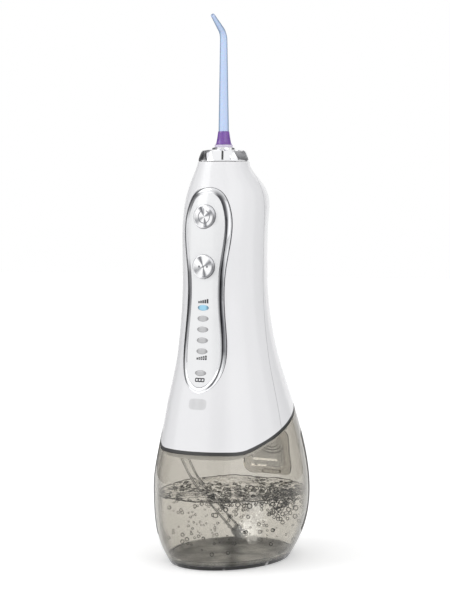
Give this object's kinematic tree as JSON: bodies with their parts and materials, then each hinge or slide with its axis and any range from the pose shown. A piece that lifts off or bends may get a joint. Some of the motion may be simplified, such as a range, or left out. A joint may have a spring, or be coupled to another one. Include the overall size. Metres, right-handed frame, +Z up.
{
  "type": "cordless water flosser",
  "caption": "Cordless water flosser with a smoky tank below, a waisted white handle, a chrome collar and a bent jet tip.",
  "frame": {"origin": "centre of the rubber pad under the tank, on the surface it stands on", "axes": "+Z up, the control panel faces -Y, +X to the right of someone facing the panel"},
  "size_m": [0.0826, 0.1008, 0.2972],
  "materials": {
    "smoky_plastic": "gloss",
    "grey_rubber": "matt",
    "black_rubber": "matt",
    "steel": "brushed",
    "white_plastic": "gloss",
    "chrome": "polished",
    "lamp_plastic": "gloss",
    "grey_plastic": "satin",
    "clear_tube": "gloss",
    "board_green": "satin",
    "cell_blue": "gloss",
    "iron": "satin",
    "brass": "satin",
    "white_nylon": "satin",
    "tip_blue": "gloss",
    "tip_purple": "gloss",
    "tip_lilac": "gloss"
  },
  "bodies": {
    "tank": {"tank_shell": "smoky_plastic", "tank_base": "smoky_plastic", "base_pad": "grey_rubber", "fill_door_pin": "steel"},
    "fill_door": {"fill_door": "smoky_plastic", "fill_door_seal": "black_rubber"},
    "handle": {"front_shell": "white_plastic", "rear_shell": "white_plastic", "shell_screws": "steel", "panel_trim": "chrome", "panel_plate": "white_plastic", "lamp_lenses": "lamp_plastic", "charge_window": "lamp_plastic", "button_seals": "grey_rubber", "base_cap": "grey_plastic", "tank_gasket": "grey_rubber", "hose_connector": "grey_plastic", "suction_hose": "clear_tube", "hose_filter": "steel", "chassis": "grey_plastic", "battery_cell": "cell_blue", "battery_tabs": "steel", "control_board": "board_green", "tact_switches": "grey_plastic", "board_lamps": "grey_plastic", "motor_can": "steel", "motor_end_cap": "grey_plastic", "gear_axle": "steel", "gear_bracket": "grey_plastic", "motor_screws": "steel", "pump_cylinder": "grey_plastic", "pump_head": "grey_plastic", "inlet_valve": "black_rubber", "outlet_valve": "black_rubber", "head_screws": "steel", "inlet_tube": "clear_tube", "nozzle_seat": "grey_plastic", "charging_socket": "steel"},
    "power_button": {"power_button": "chrome", "power_plunger": "grey_plastic"},
    "mode_button": {"mode_button": "chrome", "mode_plunger": "grey_plastic"},
    "crown_gear": {"crown_gear": "white_nylon"},
    "rotor": {"motor_rotor": "iron", "pinion": "brass"},
    "piston": {"piston": "grey_plastic", "piston_seal": "black_rubber", "wrist_pin": "steel"},
    "connecting_rod": {"connecting_rod": "grey_plastic"},
    "collar": {"chrome_collar": "chrome", "rotary_socket": "grey_plastic", "socket_oring": "black_rubber", "socket_clip": "steel"},
    "jet_tip": {"jet_tube": "tip_blue", "tip_ring": "tip_purple", "tip_base": "tip_lilac", "tip_oring": "black_rubber"},
    "port_cover": {"port_cover": "grey_rubber"}
  },
  "joints": [
    {"name": "fill_door_hinge", "type": "hinge", "parent": "tank", "child": "fill_door", "pos_m": [0, 0.0457, 0.0679], "axis": [1, 0, 0], "range_deg": [0, 100]},
    {"name": "handle_lift", "type": "slide", "parent": "tank", "child": "handle", "axis": [0, 0, 1], "range_m": [0, 0.13]},
    {"name": "power_press", "type": "slide", "parent": "handle", "child": "power_button", "axis": [0, 1, 0], "range_m": [0, 0.0008], "stiffness_N_per_m": 1500},
    {"name": "mode_press", "type": "slide", "parent": "handle", "child": "mode_button", "axis": [0, 1, 0], "range_m": [0, 0.0008], "stiffness_N_per_m": 1500},
    {"name": "port_cover_hinge", "type": "hinge", "parent": "handle", "child": "port_cover", "pos_m": [0, 0.0315, 0.09675], "axis": [-1, 0, 0], "range_deg": [0, 110]},
    {"name": "rotor_turn", "type": "hinge", "parent": "handle", "child": "rotor", "pos_m": [0, 0.008, 0.1], "axis": [0, 0, 1], "continuous": true},
    {"name": "crown_turn", "type": "hinge", "parent": "handle", "child": "crown_gear", "pos_m": [0, 0.006, 0.1342], "axis": [0, 1, 0], "continuous": true},
    {"name": "piston_stroke", "type": "slide", "parent": "handle", "child": "piston", "axis": [0, 0, 1], "range_m": [-0.006, 0]},
    {"name": "rod_swing", "type": "hinge", "parent": "piston", "child": "connecting_rod", "pos_m": [0, 0.0002, 0.1552], "axis": [0, 1, 0], "range_deg": [-9.6, 9.6]},
    {"name": "collar_turn", "type": "hinge", "parent": "handle", "child": "collar", "pos_m": [0, -0.00903, 0.217], "axis": [0, 0, 1], "continuous": true},
    {"name": "tip_pull", "type": "slide", "parent": "collar", "child": "jet_tip", "axis": [0, 0, 1], "range_m": [0, 0.035]}
  ],
  "couplings": [
    {"joint": "crown_turn", "follows": "rotor_turn", "ratio": -0.25}
  ]
}
